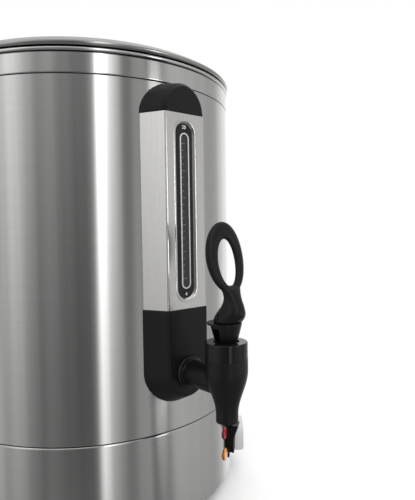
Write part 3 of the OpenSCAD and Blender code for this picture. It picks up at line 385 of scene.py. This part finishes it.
loopAlong = innerAlong + (outerAlong - innerAlong) * outerShare
loopThick = leverSkin["halfThick"] * np.sin(sectionTurn) - leverSkin["setBack"] * loopAcross ** 2
lean = math.radians(leverSkin["lean"])
loopDeep = leverSkin["start"][0] + loopAlong * math.sin(lean) - loopThick * math.cos(lean)
loopHigh = leverSkin["start"][1] + loopAlong * math.cos(lean) + loopThick * math.sin(lean)
loopGrid = np.stack([loopAcross, loopDeep, loopHigh], -1)
neckHigh, neckCentre, neckWide, neckDeep = np.array(leverSkin["neck"]).T[:, :, None]
neckTurn = np.linspace(0, 2 * np.pi, leverSkin["neckPoints"], endpoint=False)
neckGrid = np.stack([neckWide * np.cos(neckTurn), neckCentre + neckDeep * np.sin(neckTurn),
    neckHigh + 0 * neckTurn], -1)
skinPoints = np.concatenate([loopGrid.reshape(-1, 3), neckGrid.reshape(-1, 3)])
loopCount = loopGrid.shape[0] * loopGrid.shape[1]
firstRow = np.arange(leverSkin["neckPoints"]) + loopCount
lastRow = firstRow + leverSkin["neckPoints"] * (neckGrid.shape[0] - 1)
skinFaces = gridFaces(*loopGrid.shape[:2], True)
skinFaces += gridFaces(*neckGrid.shape[:2], False, loopCount)
skinFaces += [firstRow[::-1].tolist(), lastRow.tolist()]
leverPiece = finishMesh("leverSkin", (skinPoints + leverSkin["pin"]) * milli, skinFaces)
polish(leverPiece, "tap_lever", tapBlack)
melt(leverPiece, leverSkin["voxel"], leverSkin["rounds"])
print("stage: moulded pieces", len(edgeWidths))


def boxOf(name):
    corners = np.array([tuple(corner) for corner in nodes[name].bound_box])
    return corners.min(0), corners.max(0)


# Lid shoulder: the raised step inside the lid's rolled edge. Its profile, as distance from the axis and
# height, climbs from the foot, bends over the crown on a quadratic curve, runs level to the dome and closes
# inside the lid.
lidShoulder = {"foot": (149.4, 434.2), "crown": (140.2, 440.6), "bend": 2.4, "bendPoints": 9,
    "inner": (108.6, 440.3), "innerDrop": (0.0, -1.0), "underStep": (-4.0, -1.5)}
foot, crown, inner = (np.array(lidShoulder[key]) for key in ("foot", "crown", "inner"))
bendStart = crown + (foot - crown) / np.linalg.norm(foot - crown) * lidShoulder["bend"]
bendEnd = crown + (inner - crown) / np.linalg.norm(inner - crown) * lidShoulder["bend"]
bendShare = np.linspace(0, 1, lidShoulder["bendPoints"])[:, None]
bendCurve = (1 - bendShare) ** 2 * bendStart + 2 * bendShare * (1 - bendShare) * crown
bendCurve += bendShare ** 2 * bendEnd
shoulderEnd = [inner, inner + lidShoulder["innerDrop"], foot + lidShoulder["underStep"]]
shoulderPiece = turnedRing("lidShoulder", np.concatenate([[foot], bendCurve, shoulderEnd]))
polish(shoulderPiece, "lid", lidSteel)

# Slot lip: the pressed bead round the window slot, a half ellipse carried along a stadium path, its foot in
# the sheet
slotLip = {"halfWidth": 10.6, "low": 217.1, "high": 371.9, "beadHalf": 1.15, "beadHigh": 0.22, "sink": 0.04,
    "inside": 0.25, "footOut": 0.4, "footDeep": 1.3, "seatDeep": 0.4, "beadPoints": 13, "endPoints": 33}
columnFront = boxOf("gauge_column")[0][1]
beadTurn = np.linspace(0, np.pi, slotLip["beadPoints"])
beadOut = slotLip["beadHalf"] * (1 + np.cos(beadTurn)) - slotLip["inside"]
beadUp = slotLip["beadHigh"] * np.sin(beadTurn) - slotLip["sink"]
beadOut = np.append(beadOut, [-slotLip["inside"], slotLip["footOut"], slotLip["footOut"], beadOut[0]])
beadUp = np.append(beadUp, np.repeat([-slotLip["footDeep"], -slotLip["seatDeep"]], 2))
endTurn = np.linspace(0, np.pi, slotLip["endPoints"])
pathTurn = np.append(endTurn, endTurn + np.pi)
straight = (slotLip["high"] - slotLip["low"]) / 2 - slotLip["halfWidth"]
pathHigh = (slotLip["low"] + slotLip["high"]) / 2 + np.repeat([straight, -straight], len(endTurn))
beadReach = slotLip["halfWidth"] + beadOut[:, None]
lipDeep = columnFront / milli - beadUp[:, None] + 0 * pathTurn
lipGrid = np.stack([beadReach * np.cos(pathTurn), lipDeep, pathHigh + beadReach * np.sin(pathTurn)], -1)
polish(gridPiece("slotLip", lipGrid * milli), "urn", columnSteel)


# Printed marks: thin raised bars, one box per row of centres and half sizes in metres
def bars(name, centres, halves, place=Matrix.Identity(4)):
    signs = np.array([(x, y, z) for x in (-1, 1) for y in (-1, 1) for z in (-1, 1)], float)
    points = np.asarray(centres)[:, None, :] + np.asarray(halves)[:, None, :] * signs[None]
    matrix = np.array(place)
    points = points.reshape(-1, 3) @ matrix[:3, :3].T + matrix[:3, 3]
    sides = np.array([(0, 1, 3, 2), (4, 6, 7, 5), (0, 4, 5, 1), (2, 3, 7, 6), (0, 2, 6, 4), (1, 5, 7, 3)])
    faces = (np.arange(len(centres))[:, None, None] * 8 + sides[None]).reshape(-1, 4).tolist()
    return finishMesh(name, points, faces)


# Plain numbers, set as type and turned into a mesh lying where the matrix puts it
def numberPiece(name, text, height, place):
    curve = bpy.data.curves.new(name, "FONT")
    curve.body = text
    curve.size = height
    curve.align_x = "CENTER"
    curve.align_y = "CENTER"
    curve.extrude = gauge["typeDepth"]
    setting = bpy.data.objects.new(name + "Type", curve)
    bpy.context.scene.collection.objects.link(setting)
    ready = setting.evaluated_get(bpy.context.evaluated_depsgraph_get())
    mesh = bpy.data.meshes.new_from_object(ready)
    bpy.data.objects.remove(setting)
    mesh.transform(place)
    piece = bpy.data.objects.new(name, mesh)
    bpy.context.scene.collection.objects.link(piece)
    return piece


# Gauge marks, in metres: level lines on the glass, longer at every fourth, and two end numbers on the plate
gauge = {"lines": 21, "longEvery": 4, "inset": 0.008, "shortHalf": 0.0011, "longHalf": 0.0020,
    "lineHalf": 0.00022, "lineDeep": 0.00004, "lineProud": 0.00002, "sideGap": 0.0006, "high": "20",
    "low": "4", "numberHeight": 0.0044, "numberProud": 0.00003, "typeDepth": 0.00002}
glassLow, glassHigh = boxOf("gauge_window")
plateLow, plateHigh = boxOf("gauge_plate")
trimLow, trimHigh = boxOf("gauge_trim")
lineHeights = np.linspace(glassLow[2] + gauge["inset"], glassHigh[2] - gauge["inset"], gauge["lines"])
longLine = np.arange(gauge["lines"]) % gauge["longEvery"] == 0
lineHalves = np.where(longLine, gauge["longHalf"], gauge["shortHalf"])
lineFront = np.full(gauge["lines"], glassLow[1] - gauge["lineProud"])
lineCentres = np.stack([lineHalves - glassHigh[0] + gauge["sideGap"], lineFront, lineHeights], 1)
lineSizes = np.stack([lineHalves, np.full(gauge["lines"], gauge["lineDeep"]),
    np.full(gauge["lines"], gauge["lineHalf"])], 1)
polish(bars("levelLines", lineCentres, lineSizes), "urn", markGrey)
facing = Matrix.Rotation(math.radians(90), 4, "X")
numberFront = plateLow[1] - gauge["numberProud"]
for name, text, height in (("highNumber", gauge["high"], (plateHigh[2] + trimHigh[2]) / 2),
        ("lowNumber", gauge["low"], (plateLow[2] + trimLow[2]) / 2)):
    place = Matrix.Translation((0, numberFront, height)) @ facing
    polish(numberPiece(name, text, gauge["numberHeight"], place), "urn", markWhite)

# Knob pointer: a line laid into the groove of the thermostat knob, from near its middle to near its edge
pointer = {"bearing": 52.0, "height": 41.0, "from": 3.4, "to": 17.6, "out": 14.95, "halfWidth": 0.7,
    "halfDeep": 0.2}
pointerCentre = np.array((0, (pointer["from"] + pointer["to"]) / 2, pointer["out"])) * milli
pointerHalf = (pointer["halfWidth"], (pointer["to"] - pointer["from"]) / 2, pointer["halfDeep"])
pointerPlace = onDrum(pointer["bearing"], pointer["height"])
pointerPiece = bars("knobPointer", [pointerCentre], [np.array(pointerHalf) * milli], pointerPlace)
polish(pointerPiece, "knob", blackSatin)
print("stage: marks")

# Stage: pale floor, banded studio surround for the steel, soft lamps

# Away from the object the floor fades into the white surround. Sizes are in metres.
floorLook = {"side": 1.6, "tone": 0.9, "rough": 0.8, "fadeFrom": 0.18, "fadeSpan": 0.45}
side = floorLook["side"]
floorCorners = [(-side, -side, 0), (side, -side, 0), (side, side, 0), (-side, side, 0)]
floorMesh = bpy.data.meshes.new("floor")
floorMesh.from_pydata(floorCorners, [], [(0, 1, 2, 3)])
floor = bpy.data.objects.new("floor", floorMesh)
bpy.context.scene.collection.objects.link(floor)
floorMaterial, floorTree, floorShader = newMaterial("floorLook")
floorShader.inputs["Base Color"].default_value = grey(floorLook["tone"])
floorShader.inputs["Roughness"].default_value = floorLook["rough"]
floorReach = vectorNode(floorTree, "LENGTH", objectCoords(floorTree)).outputs["Value"]
fade = climb(floorTree, floorReach, floorLook["fadeFrom"], floorLook["fadeSpan"])
glow = floorTree.nodes.new("ShaderNodeEmission")
floorMix = floorTree.nodes.new("ShaderNodeMixShader")
floorOutput = next(n for n in floorTree.nodes if n.type == "OUTPUT_MATERIAL")
floorTree.links.new(fade, floorMix.inputs[0])
floorTree.links.new(floorShader.outputs[0], floorMix.inputs[1])
floorTree.links.new(glow.outputs[0], floorMix.inputs[2])
floorTree.links.new(floorMix.outputs[0], floorOutput.inputs["Surface"])
floorMesh.materials.append(floorMaterial)
floor.visible_glossy = False

# Surround, seen only in reflections. Bearings are in degrees from the front towards +X, heights are the
# upward part of a direction of length 1, spans of a bearing are in radians, and tones are shares of the
# strength.
surround = {"strength": 3.0, "lean": 0.061, "overheadFrom": 0.55, "overheadSpan": 0.25, "overheadTone": 0.30,
    "belowFrom": -0.45, "belowSpan": -0.2, "belowTone": 0.075}
streaks = {"count": 18.0, "detail": 3.0, "rough": 0.6, "gain": 1.3, "least": 0.35}
leftPart = {"from": -105, "to": -4, "span": 0.14, "rise": 1.3, "least": 0.6, "count": 34.0, "detail": 2.0,
    "rough": 0.6, "gain": 1.3}
dimPart = {"from": 12, "to": 33, "span": 0.07, "height": 0.24, "heightSpan": 0.06, "share": 0.85}
cornerLight = {"bearing": 20.5, "half": 5.4, "span": 0.035, "top": 0.21, "low": -0.20, "endSpan": 0.05,
    "tone": 1.5}
# Brightness of the upright bands by bearing
bandTones = [(-180, 0.55), (-130, 0.5), (-94, 0.64), (-91.5, 0.86), (-87, 0.77), (-80.5, 0.68), (-78.5, 0.47),
    (-74, 0.40), (-67, 0.22), (-60, 0.35), (-54, 0.215), (-46, 0.19), (-37, 0.14), (-30, 0.16), (-26.1, 0.30),
    (-24.2, 2.3), (-19.2, 2.3), (-16.5, 1.0), (-11, 0.74), (-7, 0.46), (-5.2, 0.25), (-1, 0.20), (5, 0.38),
    (22, 0.55), (45, 0.6), (76, 0.5), (84, 0.45), (93, 0.55), (100, 0.75), (110, 1.0), (140, 1.05),
    (180, 0.55)]
world = bpy.data.worlds.new("surround")
bpy.context.scene.world = world
world.use_nodes = True
sky = world.node_tree
background = next(n for n in sky.nodes if n.type == "BACKGROUND")
skyOutput = next(n for n in sky.nodes if n.type == "OUTPUT_WORLD")
skyAim = splitAxes(sky, sky.nodes.new("ShaderNodeTexCoord").outputs["Generated"])
skyHeight = skyAim[2]
around = mathNode(sky, "ARCTAN2", skyAim[0], product(sky, skyAim[1], -1.0))
# The bands lean a little with height
leaned = mathNode(sky, "SUBTRACT", around, product(sky, skyHeight, surround["lean"]))
bandAt = mathNode(sky, "ADD", mathNode(sky, "DIVIDE", leaned, 2 * math.pi), 0.5)
bands = sky.nodes.new("ShaderNodeValToRGB")
sky.links.new(bandAt, bands.inputs[0])
ramp = bands.color_ramp
while len(ramp.elements) > 1:
    ramp.elements.remove(ramp.elements[-1])
for number, (bandBearing, tone) in enumerate(bandTones):
    stopAt = (bandBearing + 180) / 360
    stop = ramp.elements[0] if number == 0 else ramp.elements.new(stopAt)
    stop.position = stopAt
    stop.color = grey(tone / surround["strength"])
# Narrow upright streaks lie over the broad bands
streakNoise = noiseNode(sky, joinAxes(sky, product(sky, around, streaks["count"])), 1.0, streaks["detail"],
    streaks["rough"])
streakGain = mathNode(sky, "ADD", product(sky, streakNoise, streaks["gain"]), streaks["least"])
# On the left side the surround grows brighter with height, and it has finer streaks as well
leftShare = product(sky, climb(sky, around, math.radians(leftPart["to"]), -leftPart["span"]),
    climb(sky, around, math.radians(leftPart["from"]), leftPart["span"]))
rise = product(sky, leftShare, product(sky, skyHeight, leftPart["rise"]))
riseGain = mathNode(sky, "MAXIMUM", mathNode(sky, "ADD", rise, 1.0), leftPart["least"])
fineNoise = noiseNode(sky, joinAxes(sky, product(sky, around, leftPart["count"])), 1.0, leftPart["detail"],
    leftPart["rough"])
fineSwing = mathNode(sky, "SUBTRACT", fineNoise, 0.5)
fineGain = mathNode(sky, "ADD", product(sky, fineSwing, product(sky, leftShare, leftPart["gain"])), 1.0)
# Above and below the corner light the surround is dim
farUp = climb(sky, mathNode(sky, "ABSOLUTE", skyHeight), dimPart["height"], dimPart["heightSpan"])
dimShare = product(sky, farUp, climb(sky, around, math.radians(dimPart["from"]), dimPart["span"]),
    climb(sky, around, math.radians(dimPart["to"]), -dimPart["span"]))
dimGain = mathNode(sky, "SUBTRACT", 1.0, product(sky, dimShare, dimPart["share"]))
streaked = vectorNode(sky, "SCALE", bands.outputs[0])
sky.links.new(product(sky, streakGain, riseGain, fineGain, dimGain), streaked.inputs["Scale"])
# Overhead the surround turns to an even soft white
upward = climb(sky, skyHeight, surround["overheadFrom"], surround["overheadSpan"])
withTop = mixColours(sky, upward, streaked.outputs[0], grey(surround["overheadTone"]))
# Well below the horizon it is dark, so that undersides of rolled edges read as dark lines
downward = climb(sky, skyHeight, surround["belowFrom"], surround["belowSpan"])
withGround = mixColours(sky, downward, withTop, grey(surround["belowTone"]))
# One short upright light that only the corners of the gauge housing and the tap catch
aside = mathNode(sky, "SUBTRACT", around, math.radians(cornerLight["bearing"]))
asideBy = mathNode(sky, "ABSOLUTE", aside)
inWidth = climb(sky, asideBy, math.radians(cornerLight["half"]), -cornerLight["span"])
underTop = climb(sky, skyHeight, cornerLight["top"], -cornerLight["endSpan"])
overLow = climb(sky, skyHeight, cornerLight["low"], cornerLight["endSpan"])
lit = mixColours(sky, product(sky, inWidth, underTop, overLow), withGround, grey(cornerLight["tone"]))
sky.links.new(lit, background.inputs["Color"])
background.inputs["Strength"].default_value = surround["strength"]
# The camera itself sees plain white
plainBack = sky.nodes.new("ShaderNodeBackground")
plainBack.inputs["Color"].default_value = grey(1.0)
lightPath = sky.nodes.new("ShaderNodeLightPath")
mixBack = sky.nodes.new("ShaderNodeMixShader")
sky.links.new(lightPath.outputs["Is Camera Ray"], mixBack.inputs[0])
sky.links.new(background.outputs[0], mixBack.inputs[1])
sky.links.new(plainBack.outputs[0], mixBack.inputs[2])
sky.links.new(mixBack.outputs[0], skyOutput.inputs["Surface"])


# A square lamp at one place, aimed at another, in metres and watts
def softLamp(name, place, target, side, power):
    data = bpy.data.lights.new(name, "AREA")
    data.shape = "RECTANGLE"
    data.size = side
    data.size_y = side
    data.energy = power
    lamp = bpy.data.objects.new(name, data)
    lamp.location = place
    lamp.rotation_euler = (Vector(target) - Vector(place)).to_track_quat("-Z", "Y").to_euler()
    lamp.visible_glossy = False
    bpy.context.scene.collection.objects.link(lamp)


softLamp("topLamp", place=(-0.3, -0.9, 1.6), target=(0, 0, 0.2), side=1.2, power=14.0)
softLamp("sideLamp", place=(1.3, -0.6, 0.9), target=(0, -0.1, 0.2), side=0.9, power=8.0)
print("stage: lights")

# Camera at the photo's place, in metres, with its roll in degrees

view = {"place": (-0.26290, -0.50075, 0.27963), "forward": (0.65271, 0.75628, -0.04477), "roll": -0.804,
    "lens": 35.05, "sensor": 36.0, "nearest": 0.01}
camData = bpy.data.cameras.new("camera")
camData.sensor_fit = "AUTO"
camData.sensor_width = view["sensor"]
camData.lens = view["lens"]
camData.clip_start = view["nearest"]
camera = bpy.data.objects.new("camera", camData)
forward = Vector(view["forward"]).normalized()
level = forward.cross(Vector((0, 0, 1))).normalized()
roll = math.radians(view["roll"])
right = level * math.cos(roll) + level.cross(forward) * math.sin(roll)
above = right.cross(forward)
facingAxes = Matrix((right, above, -forward)).transposed().to_4x4()
camera.matrix_world = Matrix.Translation(view["place"]) @ facingAxes
bpy.context.scene.collection.objects.link(camera)
bpy.context.scene.camera = camera
bpy.context.scene.view_settings.view_transform = "Standard"

print("stage: done")
